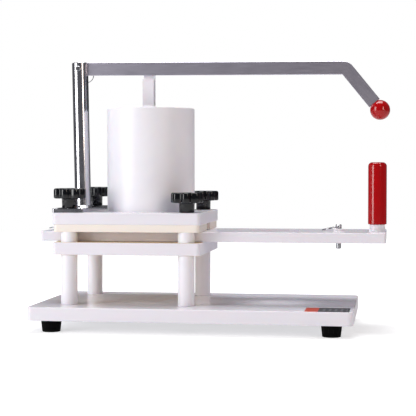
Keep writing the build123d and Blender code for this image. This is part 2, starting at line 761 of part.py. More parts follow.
bolt_engage = 70.0
bolt_head_recess = 0.5
bolt_head_half_flats = 6.5
with BuildPart() as grip_bolt:
    with BuildSketch(Plane.XY.offset(tray_z + bolt_head_recess)):
        with Locations((grip_x, plate_y)):
            RegularPolygon(bolt_head_half_flats, 6, major_radius=False)
    extrude(amount=bolt_recess_depth - bolt_head_recess)
    with BuildSketch(Plane.XY.offset(tray_z + bolt_recess_depth)):
        with Locations((grip_x, plate_y)):
            Circle(grip_bolt_radius)
    extrude(amount=grip_z + bolt_engage - tray_z - bolt_recess_depth)
finish(grip_bolt.part, "grip_bolt")

grip_top_round = 6.0
grip_foot_round = 0.8
bore_margin = 1.0
with BuildPart() as grip:
    with BuildSketch(Plane.XY.offset(grip_z)):
        with Locations((grip_x, plate_y)):
            Circle(grip_radius)
    extrude(amount=grip_height)
    fillet(grip.faces().sort_by(Axis.Z)[-1].edges(), grip_top_round)
    fillet(grip.faces().sort_by(Axis.Z)[0].edges(), grip_foot_round)
    with Locations((grip_x, plate_y, grip_z)):
        Cylinder(grip_bolt_radius + running_clearance, bolt_engage + bore_margin,
                 align=(Align.CENTER, Align.CENTER, Align.MIN), mode=Mode.SUBTRACT)
finish(grip.part, "grip")

# Plain two-tone sticker on the base, near its right front corner.
label_width = 64.0
label_depth = 51.0
label_thickness = 0.2
label_corner = 2.0
label_x = base_x + 202.0
label_y = -96.5
with BuildPart() as label:
    with BuildSketch(Plane.XY.offset(base_top)):
        with Locations((label_x, label_y)):
            RectangleRounded(label_width, label_depth, label_corner)
    extrude(amount=label_thickness)
finish(label.part, "label")
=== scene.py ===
import json
from math import cos, pi, radians, sin

import bmesh
import bpy
from mathutils import Matrix, Vector


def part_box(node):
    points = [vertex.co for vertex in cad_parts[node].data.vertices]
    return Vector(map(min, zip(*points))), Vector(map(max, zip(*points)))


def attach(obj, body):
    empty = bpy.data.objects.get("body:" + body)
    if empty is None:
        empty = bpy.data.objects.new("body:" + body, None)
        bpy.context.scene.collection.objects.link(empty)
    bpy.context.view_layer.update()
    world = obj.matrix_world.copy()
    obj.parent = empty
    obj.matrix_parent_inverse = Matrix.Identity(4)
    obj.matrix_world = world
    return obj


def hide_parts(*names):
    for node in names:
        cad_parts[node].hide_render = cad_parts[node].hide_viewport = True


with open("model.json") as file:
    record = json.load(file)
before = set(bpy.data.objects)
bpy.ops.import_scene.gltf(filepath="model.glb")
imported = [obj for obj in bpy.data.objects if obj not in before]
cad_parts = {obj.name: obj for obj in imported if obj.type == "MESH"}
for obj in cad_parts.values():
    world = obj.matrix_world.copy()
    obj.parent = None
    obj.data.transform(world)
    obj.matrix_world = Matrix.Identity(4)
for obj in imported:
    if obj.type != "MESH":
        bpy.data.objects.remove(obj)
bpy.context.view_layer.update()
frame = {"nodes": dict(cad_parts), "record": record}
bodyOf = {}
for bodyName, members in frame["record"]["behaviour"]["bodies"].items():
    for member in members:
        bodyOf[member] = bodyName

millimetre = 0.001


def linear(hexColour):
    # sRGB hex to the linear colour that a socket takes
    parts = [int(hexColour[i:i + 2], 16) / 255 for i in (1, 3, 5)]
    return tuple(c / 12.92 if c <= 0.04045 else ((c + 0.055) / 1.055) ** 2.4 for c in parts) + (1.0,)


def addNode(tree, kind, settings=None, links=None):
    # settings are the node's own properties, or its inputs' values, and links come from other nodes' outputs
    node = tree.nodes.new(kind)
    for key, value in (settings or {}).items():
        if isinstance(key, str) and key in node.bl_rna.properties:
            setattr(node, key, value)
        else:
            node.inputs[key].default_value = value
    for key, source in (links or {}).items():
        tree.links.new(source, node.inputs[key])
    return node


def startMaterial(name, shaderSettings):
    # a material with one shader, and the piece's own coordinates in metres
    material = bpy.data.materials.new(name)
    material.use_nodes = True
    tree = material.node_tree
    tree.nodes.clear()
    shader = addNode(tree, "ShaderNodeBsdfPrincipled", shaderSettings)
    addNode(tree, "ShaderNodeOutputMaterial", links={"Surface": shader.outputs["BSDF"]})
    place = addNode(tree, "ShaderNodeTexCoord").outputs["Object"]
    return material, tree, shader, place


polyethylene = {
    "sheetColour": "#f1eff6", "sheetShade": "#e6e3ee", "edgeColour": "#e4e1ea",
    "turnedColour": "#efedf4", "turnedShade": "#e4e2ea",
    "creamColour": "#e2c796", "creamShade": "#dcbd88", "creamEdge": "#ece3db",
    # the lower plate's broad faces are tinted tan: painted warm shade and bounce light for the gap between the plates,
    # where the tray slides
    "paintedGapShadeColour": "#f1dcb9", "paintedGapShadeTone": "#ecd4ac",
    "cloudSize": 0.06, "sawPitch": 0.0011, "sawStretch": 0.04, "grainSize": 0.004, "scuffSize": 0.018,
    "faceRough": (0.17, 0.27), "edgeRough": (0.36, 0.5), "broadFrom": 0.6, "broadTo": 0.95,
    "barCloudSize": 0.04, "lathePitch": 0.0009, "barRough": (0.33, 0.43), "glow": 0.12, "glowDepth": 0.003,
}


def rolledSheet(name, colour, shade, edgeColour):
    # high density polyethylene sheet, pressed between rollers and sawn to size:
    # its broad faces are smooth enough for soft reflections, its edges are duller with fine upright saw marks
    material, tree, shader, place = startMaterial(name, {
        "IOR": 1.53, "Subsurface Weight": polyethylene["glow"], "Subsurface Scale": polyethylene["glowDepth"],
        "Specular IOR Level": 0.5})
    facing = addNode(tree, "ShaderNodeTexCoord").outputs["Normal"]
    up = addNode(tree, "ShaderNodeSeparateXYZ", links={0: facing}).outputs["Z"]
    flat = addNode(tree, "ShaderNodeMath", {"operation": "ABSOLUTE"}, {0: up}).outputs[0]
    broad = addNode(tree, "ShaderNodeMapRange", {
        "From Min": polyethylene["broadFrom"], "From Max": polyethylene["broadTo"]}, {"Value": flat}).outputs["Result"]
    clouds = addNode(tree, "ShaderNodeTexNoise", {"Scale": 1 / polyethylene["cloudSize"], "Detail": 3.0},
                     {"Vector": place}).outputs["Fac"]
    tint = addNode(tree, "ShaderNodeMix", {"data_type": "RGBA", 6: linear(colour), 7: linear(shade)},
                   {0: clouds}).outputs[2]
    face = addNode(tree, "ShaderNodeMix", {"data_type": "RGBA", 6: linear(edgeColour)},
                   {0: broad, 7: tint}).outputs[2]
    tree.links.new(face, shader.inputs["Base Color"])
    # saw marks: upright streaks a little over a millimetre apart along the edge
    squeezed = addNode(tree, "ShaderNodeMapping", {
        "vector_type": "POINT", "Scale": (1.0, 1.0, polyethylene["sawStretch"])}, {"Vector": place}).outputs[0]
    saw = addNode(tree, "ShaderNodeTexNoise", {"Scale": 1 / polyethylene["sawPitch"], "Detail": 1.0},
                  {"Vector": squeezed}).outputs["Fac"]
    grain = addNode(tree, "ShaderNodeTexNoise", {"Scale": 1 / polyethylene["grainSize"], "Detail": 4.0},
                    {"Vector": place}).outputs["Fac"]
    relief = addNode(tree, "ShaderNodeMix", {"data_type": "FLOAT"}, {0: broad, 2: saw, 3: grain}).outputs[0]
    scuffs = addNode(tree, "ShaderNodeTexNoise", {
        "Scale": 1 / polyethylene["scuffSize"], "Detail": 5.0, "Roughness": 0.65}, {"Vector": place}).outputs["Fac"]
    smoothest, dullest = polyethylene["faceRough"]
    smooth = addNode(tree, "ShaderNodeMapRange", {"To Min": smoothest, "To Max": dullest},
                     {"Value": scuffs}).outputs["Result"]
    smoothest, dullest = polyethylene["edgeRough"]
    dull = addNode(tree, "ShaderNodeMapRange", {"To Min": smoothest, "To Max": dullest},
                   {"Value": saw}).outputs["Result"]
    rough = addNode(tree, "ShaderNodeMix", {"data_type": "FLOAT"}, {0: broad, 2: dull, 3: smooth}).outputs[0]
    tree.links.new(rough, shader.inputs["Roughness"])
    bump = addNode(tree, "ShaderNodeBump", {"Strength": 0.12, "Distance": 0.0003}, {"Height": relief})
    tree.links.new(bump.outputs["Normal"], shader.inputs["Normal"])
    return material


def turnedBar(name, colour, shade):
    # polyethylene bar turned on a lathe: satin, with close rings round it that spread the light across
    material, tree, shader, place = startMaterial(name, {
        "IOR": 1.53, "Subsurface Weight": polyethylene["glow"], "Subsurface Scale": polyethylene["glowDepth"]})
    clouds = addNode(tree, "ShaderNodeTexNoise", {"Scale": 1 / polyethylene["barCloudSize"], "Detail": 3.0},
                     {"Vector": place}).outputs["Fac"]
    tint = addNode(tree, "ShaderNodeMix", {"data_type": "RGBA", 6: linear(colour), 7: linear(shade)},
                   {0: clouds}).outputs[2]
    tree.links.new(tint, shader.inputs["Base Color"])
    # a wave texture repeats every 2 pi / (20 scale)
    rings = addNode(tree, "ShaderNodeTexWave", {
        "wave_type": "BANDS", "bands_direction": "Z", "wave_profile": "SAW",
        "Scale": 2 * pi / (20 * polyethylene["lathePitch"]), "Distortion": 0.4, "Detail": 2.0,
        "Detail Scale": 3.0}, {"Vector": place}).outputs["Fac"]
    smoothest, dullest = polyethylene["barRough"]
    rough = addNode(tree, "ShaderNodeMapRange", {"To Min": smoothest, "To Max": dullest},
                    {"Value": rings}).outputs["Result"]
    tree.links.new(rough, shader.inputs["Roughness"])
    bump = addNode(tree, "ShaderNodeBump", {"Strength": 0.08, "Distance": 0.0002}, {"Height": rings})
    tree.links.new(bump.outputs["Normal"], shader.inputs["Normal"])
    return material


steel = {
    "brushedShade": "#aca8b6", "brushedColour": "#cfcbd8", "polishedColour": "#c9c8cd", "stripColour": "#b4b3b8",
    "turnedColour": "#c4c4c6", "zincColour": "#b9bcc2", "wireColour": "#b7b8bc", "weldColour": "#77787e",
    "markColour": "#8f9196", "brushPitch": 0.00045, "brushLength": 0.03, "bendAngle": 50.95, "bendFromLeft": 0.420,
    "smearSize": 0.05, "smearShare": 0.35, "brushedRough": (0.24, 0.46), "polishAcross": 30.0, "polishAlong": 1600.0,
    "printSize": 0.03, "polishedRough": (0.07, 0.2), "toolMarkSize": 0.0012,
}


def brushedSteel(name, bendAt):
    # stainless flat bar brushed along its length: fine streaks run with the bar, and turn with it at the bend
    material, tree, shader, place = startMaterial(name, {"Metallic": 1.0, "Anisotropic": 0.35})
    fine, long = 1 / steel["brushPitch"], 1 / steel["brushLength"]
    level = addNode(tree, "ShaderNodeMapping", {"Scale": (long, fine, fine)}, {"Vector": place}).outputs[0]
    turned = addNode(tree, "ShaderNodeMapping", {"Rotation": (0, -radians(steel["bendAngle"]), 0)},
                     {"Vector": place}).outputs[0]
    sloped = addNode(tree, "ShaderNodeMapping", {"Scale": (long, fine, fine)}, {"Vector": turned}).outputs[0]
    along = addNode(tree, "ShaderNodeSeparateXYZ", links={0: place}).outputs["X"]
    past = addNode(tree, "ShaderNodeMath", {"operation": "GREATER_THAN", 1: bendAt}, {0: along}).outputs[0]
    way = addNode(tree, "ShaderNodeMix", {"data_type": "VECTOR"}, {0: past, 4: level, 5: sloped}).outputs[1]
    streaks = addNode(tree, "ShaderNodeTexNoise", {"Scale": 1.0, "Detail": 3.0, "Roughness": 0.6},
                      {"Vector": way}).outputs["Fac"]
    smears = addNode(tree, "ShaderNodeTexNoise", {"Scale": 1 / steel["smearSize"], "Detail": 3.0},
                     {"Vector": place}).outputs["Fac"]
    tint = addNode(tree, "ShaderNodeMix", {
        "data_type": "RGBA", 6: linear(steel["brushedShade"]), 7: linear(steel["brushedColour"])},
        {0: streaks}).outputs[2]
    tree.links.new(tint, shader.inputs["Base Color"])
    both = addNode(tree, "ShaderNodeMath", {"operation": "MULTIPLY_ADD", 1: steel["smearShare"]},
                   {0: smears, 2: streaks}).outputs[0]
    smoothest, dullest = steel["brushedRough"]
    rough = addNode(tree, "ShaderNodeMapRange", {
        "From Max": 1 + steel["smearShare"], "To Min": smoothest, "To Max": dullest}, {"Value": both}).outputs["Result"]
    tree.links.new(rough, shader.inputs["Roughness"])
    bump = addNode(tree, "ShaderNodeBump", {"Strength": 0.15, "Distance": 0.0001}, {"Height": streaks})
    tree.links.new(bump.outputs["Normal"], shader.inputs["Normal"])
    return material


def polishedBar(name, colour):
    # ground and polished stainless bar: a clear mirror, with faint marks round it from the polishing belt
    material, tree, shader, place = startMaterial(name, {"Metallic": 1.0, "Base Color": linear(colour)})
    across, along = steel["polishAcross"], steel["polishAlong"]
    flat = addNode(tree, "ShaderNodeMapping", {"Scale": (across, across, along)}, {"Vector": place}).outputs[0]
    marks = addNode(tree, "ShaderNodeTexNoise", {"Scale": 1.0, "Detail": 3.0}, {"Vector": flat}).outputs["Fac"]
    prints = addNode(tree, "ShaderNodeTexNoise", {"Scale": 1 / steel["printSize"], "Detail": 4.0},
                     {"Vector": place}).outputs["Fac"]
    both = addNode(tree, "ShaderNodeMath", {"operation": "MULTIPLY"}, {0: marks, 1: prints}).outputs[0]
    smoothest, dullest = steel["polishedRough"]
    rough = addNode(tree, "ShaderNodeMapRange", {"From Max": 0.5, "To Min": smoothest, "To Max": dullest},
                    {"Value": both}).outputs["Result"]
    tree.links.new(rough, shader.inputs["Roughness"])
    bump = addNode(tree, "ShaderNodeBump", {"Strength": 0.04, "Distance": 0.0001}, {"Height": marks})
    tree.links.new(bump.outputs["Normal"], shader.inputs["Normal"])
    return material


def turnedSteel(name, colour, smoothest, dullest):
    # small turned, plated or welded steel: bright, with tool marks drawn at over a millimetre, coarser than real ones,
    # which would be too fine to show
    material, tree, shader, place = startMaterial(name, {"Metallic": 1.0})
    marks = addNode(tree, "ShaderNodeTexNoise", {"Scale": 1 / steel["toolMarkSize"], "Detail": 4.0},
                    {"Vector": place}).outputs["Fac"]
    tint = addNode(tree, "ShaderNodeMix", {"data_type": "RGBA", 6: linear(colour), 7: linear(steel["markColour"])},
                   {0: marks}).outputs[2]
    tree.links.new(tint, shader.inputs["Base Color"])
    rough = addNode(tree, "ShaderNodeMapRange", {"To Min": smoothest, "To Max": dullest},
                    {"Value": marks}).outputs["Result"]
    tree.links.new(rough, shader.inputs["Roughness"])
    return material


moulding = {
    "blackColour": "#050609", "blackShade": "#090b11", "redColour": "#b00006", "redShade": "#9a0004",
    "peelSize": 0.002, "rubberColour": "#010102", "rubberShade": "#040405", "pitSize": 0.0009,
    "rubberRough": (0.6, 0.85),
}


def glossMoulding(name, colour, shade, smoothest, dullest, flowSize):
    # phenolic moulding with a gloss skin: faint flow swirls under it, and a little orange peel on it
    material, tree, shader, place = startMaterial(name, {
        "IOR": 1.5, "Specular IOR Level": 0.4, "Coat Weight": 0.15, "Coat Roughness": 0.05})
    flow = addNode(tree, "ShaderNodeTexNoise", {"Scale": 1 / flowSize, "Detail": 4.0, "Distortion": 1.2},
                   {"Vector": place}).outputs["Fac"]
    tint = addNode(tree, "ShaderNodeMix", {"data_type": "RGBA", 6: linear(colour), 7: linear(shade)},
                   {0: flow}).outputs[2]
    tree.links.new(tint, shader.inputs["Base Color"])
    rough = addNode(tree, "ShaderNodeMapRange", {"To Min": smoothest, "To Max": dullest},
                    {"Value": flow}).outputs["Result"]
    tree.links.new(rough, shader.inputs["Roughness"])
    peel = addNode(tree, "ShaderNodeTexNoise", {"Scale": 1 / moulding["peelSize"], "Detail": 2.0},
                   {"Vector": place}).outputs["Fac"]
    bump = addNode(tree, "ShaderNodeBump", {"Strength": 0.05, "Distance": 0.0002}, {"Height": peel})
    tree.links.new(bump.outputs["Normal"], shader.inputs["Normal"])
    return material


def mouldedRubber(name):
    # black rubber, pressed in a spark-eroded mould: matt, deep black and finely pitted
    material, tree, shader, place = startMaterial(name, {"IOR": 1.52, "Specular IOR Level": 0.08})
    pits = addNode(tree, "ShaderNodeTexNoise", {"Scale": 1 / moulding["pitSize"], "Detail": 3.0},
                   {"Vector": place}).outputs["Fac"]
    tint = addNode(tree, "ShaderNodeMix", {
        "data_type": "RGBA", 6: linear(moulding["rubberColour"]), 7: linear(moulding["rubberShade"])},
        {0: pits}).outputs[2]
    tree.links.new(tint, shader.inputs["Base Color"])
    smoothest, dullest = moulding["rubberRough"]
    rough = addNode(tree, "ShaderNodeMapRange", {"To Min": smoothest, "To Max": dullest},
                    {"Value": pits}).outputs["Result"]
    tree.links.new(rough, shader.inputs["Roughness"])
    bump = addNode(tree, "ShaderNodeBump", {"Strength": 0.3, "Distance": 0.0003}, {"Height": pits})
    tree.links.new(bump.outputs["Normal"], shader.inputs["Normal"])
    return material


stickerPrint = {"leftShare": 0.3, "leftColour": "#d8431f", "rightColour": "#3b3a40", "barColour": "#9b9aa2",
                "barPitch": 0.0085, "barShare": 0.42, "rowHeight": 0.011, "rowShare": 0.5,
                "middle": 0.5, "middleReach": 0.36, "fieldMiddle": 0.65, "fieldReach": 0.3}


def printedSticker(name, low, high):
    # glossy vinyl sticker: an orange-red end and a dark grey field with plain light bars, and no lettering
    material, tree, shader, place = startMaterial(name, {"IOR": 1.5, "Roughness": 0.3, "Coat Weight": 0.3})
    size = high - low
    parts = addNode(tree, "ShaderNodeSeparateXYZ", links={0: place})
    across = addNode(tree, "ShaderNodeMapRange", {"From Min": low.x, "From Max": high.x},
                     {"Value": parts.outputs["X"]}).outputs["Result"]
    deep = addNode(tree, "ShaderNodeMapRange", {"From Min": low.y, "From Max": high.y},
                   {"Value": parts.outputs["Y"]}).outputs["Result"]
    isRight = addNode(tree, "ShaderNodeMath", {"operation": "GREATER_THAN", 1: stickerPrint["leftShare"]},
                      {0: across}).outputs[0]
    turns = addNode(tree, "ShaderNodeMath", {"operation": "MULTIPLY", 1: size.x / stickerPrint["barPitch"]},
                    {0: across}).outputs[0]
    phase = addNode(tree, "ShaderNodeMath", {"operation": "FRACT"}, {0: turns}).outputs[0]
    marks = addNode(tree, "ShaderNodeMath", {"operation": "LESS_THAN", 1: stickerPrint["barShare"]},
                    {0: phase}).outputs[0]
    rows = addNode(tree, "ShaderNodeMath", {"operation": "MULTIPLY", 1: size.y / stickerPrint["rowHeight"]},
                   {0: deep}).outputs[0]
    rowPhase = addNode(tree, "ShaderNodeMath", {"operation": "FRACT"}, {0: rows}).outputs[0]
    inRow = addNode(tree, "ShaderNodeMath", {"operation": "LESS_THAN", 1: stickerPrint["rowShare"]},
                    {0: rowPhase}).outputs[0]
    inMiddle = addNode(tree, "ShaderNodeMath", {
        "operation": "COMPARE", 1: stickerPrint["middle"], 2: stickerPrint["middleReach"]}, {0: deep}).outputs[0]
    inField = addNode(tree, "ShaderNodeMath", {
        "operation": "COMPARE", 1: stickerPrint["fieldMiddle"], 2: stickerPrint["fieldReach"]},
        {0: across}).outputs[0]
    for limit in (inRow, inMiddle, inField):
        marks = addNode(tree, "ShaderNodeMath", {"operation": "MULTIPLY"}, {0: marks, 1: limit}).outputs[0]
    field = addNode(tree, "ShaderNodeMix", {
        "data_type": "RGBA", 6: linear(stickerPrint["rightColour"]), 7: linear(stickerPrint["barColour"])},
        {0: marks}).outputs[2]
    whole = addNode(tree, "ShaderNodeMix", {"data_type": "RGBA", 6: linear(stickerPrint["leftColour"])},
                    {0: isRight, 7: field}).outputs[2]
    tree.links.new(whole, shader.inputs["Base Color"])
    return material


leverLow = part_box("lever_bar")[0]
finishes = {
    "sheet": rolledSheet("rolledPolyethyleneSheet", polyethylene["sheetColour"], polyethylene["sheetShade"],
                         polyethylene["edgeColour"]),
    "cream": rolledSheet("creamPolyethyleneSheet", polyethylene["creamColour"], polyethylene["creamShade"],
                         polyethylene["creamEdge"]),
    # the lower plate's sheet, with the tan painted shade of the gap between the plates on its broad faces
    "paintedGapShade": rolledSheet("sheetWithPaintedGapShade", polyethylene["paintedGapShadeColour"], polyethylene["paintedGapShadeTone"],
                           polyethylene["edgeColour"]),
    "turned": turnedBar("turnedPolyethyleneBar", polyethylene["turnedColour"], polyethylene["turnedShade"]),
    "brushed": brushedSteel("brushedStainlessFlatBar", leverLow.x + steel["bendFromLeft"]),
    "polished": polishedBar("polishedStainlessBar", steel["polishedColour"]),
    "strip": polishedBar("groundStainlessStrip", steel["stripColour"]),
    "pins": turnedSteel("turnedStainlessPins", steel["turnedColour"], 0.16, 0.32),
    "zinc": turnedSteel("zincPlatedSteel", steel["zincColour"], 0.28, 0.5),
    "wire": turnedSteel("drawnStainlessWire", steel["wireColour"], 0.14, 0.24),
    "weld": turnedSteel("brushedWeldBead", steel["weldColour"], 0.4, 0.6),
    "knob": glossMoulding("glossBlackPhenolic", moulding["blackColour"], moulding["blackShade"], 0.07, 0.13, 0.012),
    "red": glossMoulding("glossRedPhenolic", moulding["redColour"], moulding["redShade"], 0.08, 0.14, 0.03),
    "rubber": mouldedRubber("mouldedBlackRubber"),
    "sticker": printedSticker("plainPrintedSticker", *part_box("label")),
}
corners = [f"{end}_{side}" for end in ("front", "rear") for side in ("left", "right")]
wears = {
    "sheet": ["base_board", "top_plate", "tray_board"],
    # the lower plate wears the sheet with painted warm shade on its broad faces
    "cream": ["mid_plate"], "paintedGapShade": ["lower_plate"],
    "turned": ["hopper", "push_rod", "piston", "piston_clevis", "grip_spacer", "left_pin_collar", "right_pin_collar"]
              + [f"{corner}_{kind}" for corner in corners for kind in ("leg", "spacer")],
    "brushed": ["lever_bar", "rod_pin"], "polished": ["post"], "strip": ["post_strip"],
    "pins": ["pivot_pin", "left_stop_pin", "right_stop_pin", "piston_pin"],
    "wire": ["pivot_ring", "left_pin_ring", "right_pin_ring"],
    "zinc": ["tie_rods", "tie_rod_washers", "tie_rod_nuts", "foot_screws", "rod_washer", "rod_nut", "ball_stud",
             "clevis_screws", "grip_bolt"] + [f"{corner}_knob_insert" for corner in corners],
    "knob": [f"{corner}_knob" for corner in corners],
    "red": ["lever_ball", "grip"], "rubber": ["rubber_feet"], "sticker": ["label"],
}
for finish, nodes in wears.items():
    for node in nodes:
        slots = frame["nodes"][node].material_slots
        if not slots:
            frame["nodes"][node].data.materials.append(finishes[finish])
        for slot in slots:
            slot.link = "OBJECT"
            slot.material = finishes[finish]
print("finishes are on all", sum(len(n) for n in wears.values()), "nodes")


def startTree(name, sizes):
    # a Geometry Nodes tree with a geometry output and named number inputs
    tree = bpy.data.node_groups.new(name, "GeometryNodeTree")
    tree.interface.new_socket("Geometry", in_out="INPUT", socket_type="NodeSocketGeometry")
    for label, (kind, value) in sizes.items():
        socket = tree.interface.new_socket(label, in_out="INPUT", socket_type=kind)
        if value is not None:
            socket.default_value = value
    tree.interface.new_socket("Geometry", in_out="OUTPUT", socket_type="NodeSocketGeometry")
    return tree, addNode(tree, "NodeGroupInput").outputs, addNode(tree, "NodeGroupOutput").inputs["Geometry"]


def makeFromTree(name, tree, values, material):
    # runs the tree once on an empty mesh, and gives back a plain mesh object at the origin
    carrier = bpy.data.objects.new(name + "Carrier", bpy.data.meshes.new(name + "Carrier"))
    bpy.context.scene.collection.objects.link(carrier)
    modifier = carrier.modifiers.new("shape", "NODES")
    modifier.node_group = tree
    known = {item.name: item.identifier for item in tree.interface.items_tree if item.in_out == "INPUT"}
    for label, value in values.items():
        modifier[known[label]] = value
    evaluated = carrier.evaluated_get(bpy.context.evaluated_depsgraph_get())
    mesh = bpy.data.meshes.new_from_object(evaluated)
    carrier.modifiers.clear()
    bpy.data.objects.remove(carrier)
    mesh.name = name
    mesh.materials.clear()
    mesh.materials.append(material)
    piece = bpy.data.objects.new(name, mesh)
    bpy.context.scene.collection.objects.link(piece)
    return piece


def placed(piece, matrix):
    piece.data.transform(matrix)
    piece.data.update()
    return piece


starKnob = {
    "lobes": 7, "outerRadius": 24.4 * millimetre, "valleyRadius": 19.4 * millimetre, "lobeFullness": 1.7,
    "edgeRound": 3.2 * millimetre, "edgeDrop": 0.15 * millimetre, "edgeSteps": 6,
    "lowerRound": 2.0 * millimetre, "lowerSteps": 4,
    "dome": 1.1 * millimetre, "dishRadius": 9.0 * millimetre, "dishDepth": 0.7 * millimetre,
    "stemRadius": 11.6 * millimetre, "stemHeight": 14.5 * millimetre, "boreRadius": 8.1 * millimetre,
    "neck": ((2.2, 0.0), (0.9, 0.5), (0.2, 1.7), (0.0, 4.0)),  # mm out from the stem, and mm below its top
    "foot": ((0.0, 0.9), (-0.5, 0.25), (-1.2, 0.0)),  # mm out from the stem, and mm above its foot
    "stepsPerLobe": 20,
    "turns": {"front_left": 0.10, "front_right": 0.32, "rear_left": 0.55, "rear_right": 0.21},
}


def knobSector(height):
    # one lobe's share of the knob, from the middle of one valley to the next, which the tree repeats round the axis
    k = starKnob
    stem, edge, lower = k["stemHeight"], k["edgeRound"], k["lowerRound"]
    dish, dished = k["dishRadius"], height - k["dome"]
    # each row is (1 where the lobes' outline is followed, radius or offset from the outline, height)
    profile = [(0, 0.0, dished + 0.2 * millimetre), (0, dish * 0.6, dished + 0.25 * millimetre),
               (0, dish - 0.5 * millimetre, dished + 0.3 * millimetre),
               (0, dish, dished + 0.4 * millimetre + k["dishDepth"] * 0.6),
               (0, dish + 0.7 * millimetre, height - 0.1 * millimetre)]
    for step in range(k["edgeSteps"] + 1):
        a = step / k["edgeSteps"] * pi / 2
        profile.append((1, -edge + edge * sin(a), height - edge * (1 - cos(a)) - k["edgeDrop"]))
    profile.append((1, 0.0, stem + lower))
    for step in range(1, k["lowerSteps"] + 1):
        a = step / k["lowerSteps"] * pi / 2
        profile.append((1, -lower * (1 - cos(a)), stem + lower * (1 - sin(a))))
    profile += [(0, k["stemRadius"] + out * millimetre, stem - down * millimetre) for out, down in k["neck"]]
    profile += [(0, k["stemRadius"] + out * millimetre, up * millimetre) for out, up in k["foot"]]
    profile.append((0, k["boreRadius"], 0.0))
    sector = bmesh.new()
    columns = []
    for i in range(k["stepsPerLobe"] + 1):
        angle = (i / k["stepsPerLobe"] - 0.5) * 2 * pi / k["lobes"]
        swell = 0.5 + 0.5 * cos(angle * k["lobes"])
        outline = k["valleyRadius"] + (k["outerRadius"] - k["valleyRadius"]) * (1 - (1 - swell) ** k["lobeFullness"])
        column = []
        for share, offset, z in profile:
            r = outline + offset if share else offset
            column.append(sector.verts.new((r * cos(angle), r * sin(angle), z)))
        columns.append(column)
    for left, right in zip(columns, columns[1:]):
        for j in range(len(profile) - 1):
            sector.faces.new([left[j], left[j + 1], right[j + 1], right[j]])
    bmesh.ops.remove_doubles(sector, verts=sector.verts, dist=1e-6)
    mesh = bpy.data.meshes.new("knobSector")
    sector.to_mesh(mesh)
    sector.free()
    piece = bpy.data.objects.new("knobSector", mesh)
    bpy.context.scene.collection.objects.link(piece)
    return piece


def repeatRoundTree():
    tree, given, out = startTree("repeatRound", {
        "Part": ("NodeSocketObject", None), "Count": ("NodeSocketInt", 7), "Turn": ("NodeSocketFloat", 0.0),
        "Finish": ("NodeSocketMaterial", None)})
    spots = addNode(tree, "GeometryNodePoints", links={"Count": given["Count"]}).outputs[0]
    number = addNode(tree, "GeometryNodeInputIndex").outputs[0]
    step = addNode(tree, "ShaderNodeMath", {"operation": "DIVIDE", 0: 2 * pi}, {1: given["Count"]}).outputs[0]
    angle = addNode(tree, "ShaderNodeMath", {"operation": "MULTIPLY_ADD"},
                    {0: number, 1: step, 2: given["Turn"]}).outputs[0]
    spin = addNode(tree, "ShaderNodeCombineXYZ", links={"Z": angle}).outputs[0]
    part = addNode(tree, "GeometryNodeObjectInfo", links={"Object": given["Part"]}).outputs["Geometry"]
    copies = addNode(tree, "GeometryNodeInstanceOnPoints", links={
        "Points": spots, "Instance": part, "Rotation": spin}).outputs[0]
    real = addNode(tree, "GeometryNodeRealizeInstances", links={0: copies}).outputs[0]
    joined = addNode(tree, "GeometryNodeMergeByDistance", {"Distance": 1e-6}, {"Geometry": real}).outputs[0]
    smooth = addNode(tree, "GeometryNodeSetShadeSmooth", links={"Geometry": joined}).outputs[0]
    dressed = addNode(tree, "GeometryNodeSetMaterial", links={
        "Geometry": smooth, "Material": given["Finish"]}).outputs[0]
    tree.links.new(dressed, out)
    return tree


repeatRound = repeatRoundTree()
knobLow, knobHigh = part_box("front_left_knob")
sector = knobSector(knobHigh.z - knobLow.z)
for corner, turn in starKnob["turns"].items():
    node = corner + "_knob"
    low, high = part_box(node)
    knob = makeFromTree(corner + "StarKnob", repeatRound, {
        "Part": sector, "Count": starKnob["lobes"], "Turn": turn, "Finish": finishes["knob"]}, finishes["knob"])
    placed(knob, Matrix.Translation(((low.x + high.x) / 2, (low.y + high.y) / 2, low.z)))
    turnedOut = bmesh.new()
    turnedOut.from_mesh(knob.data)
    bmesh.ops.recalc_face_normals(turnedOut, faces=turnedOut.faces)
    turnedOut.to_mesh(knob.data)
    turnedOut.free()
    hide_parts(node)
    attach(knob, bodyOf[node])
bpy.data.objects.remove(sector)
print("star knobs are made")


splitRing = {
    "turns": 2.0, "wireRadius": 0.54 * millimetre, "stepsPerTurn": 56, "wireSteps": 10, "edgeMargin": 1.02,
    # degrees, and None for a ring that stands upright
    "tilts": {"left_pin_ring": 12.5, "right_pin_ring": 12.5, "pivot_ring": None},
    "seamTurn": 1.2, "uprightSeamTurn": 2.4,
}


def splitRingTree():
    tree, given, out = startTree("splitRing", {
        "Turns": ("NodeSocketFloat", 2.0), "Radius": ("NodeSocketFloat", 0.012), "Wire": ("NodeSocketFloat", 0.0005),
        "Steps": ("NodeSocketInt", 56), "Finish": ("NodeSocketMaterial", None)})
    pitch = addNode(tree, "ShaderNodeMath", {"operation": "MULTIPLY", 1: 2.0}, {0: given["Wire"]}).outputs[0]
    coil = addNode(tree, "GeometryNodeCurveSpiral", links={
        "Resolution": given["Steps"], "Rotations": given["Turns"], "Start Radius": given["Radius"],
        "End Radius": given["Radius"], "Height": pitch}).outputs[0]
    section = addNode(tree, "GeometryNodeCurvePrimitiveCircle", {"Resolution": splitRing["wireSteps"]},
                      {"Radius": given["Wire"]}).outputs[0]
    wire = addNode(tree, "GeometryNodeCurveToMesh", {"Fill Caps": True},
                   {"Curve": coil, "Profile Curve": section}).outputs[0]
    smooth = addNode(tree, "GeometryNodeSetShadeSmooth", links={"Geometry": wire}).outputs[0]
    real = addNode(tree, "GeometryNodeRealizeInstances", links={0: smooth}).outputs[0]
    dressed = addNode(tree, "GeometryNodeSetMaterial", links={
        "Geometry": real, "Material": given["Finish"]}).outputs[0]
    tree.links.new(dressed, out)
    return tree


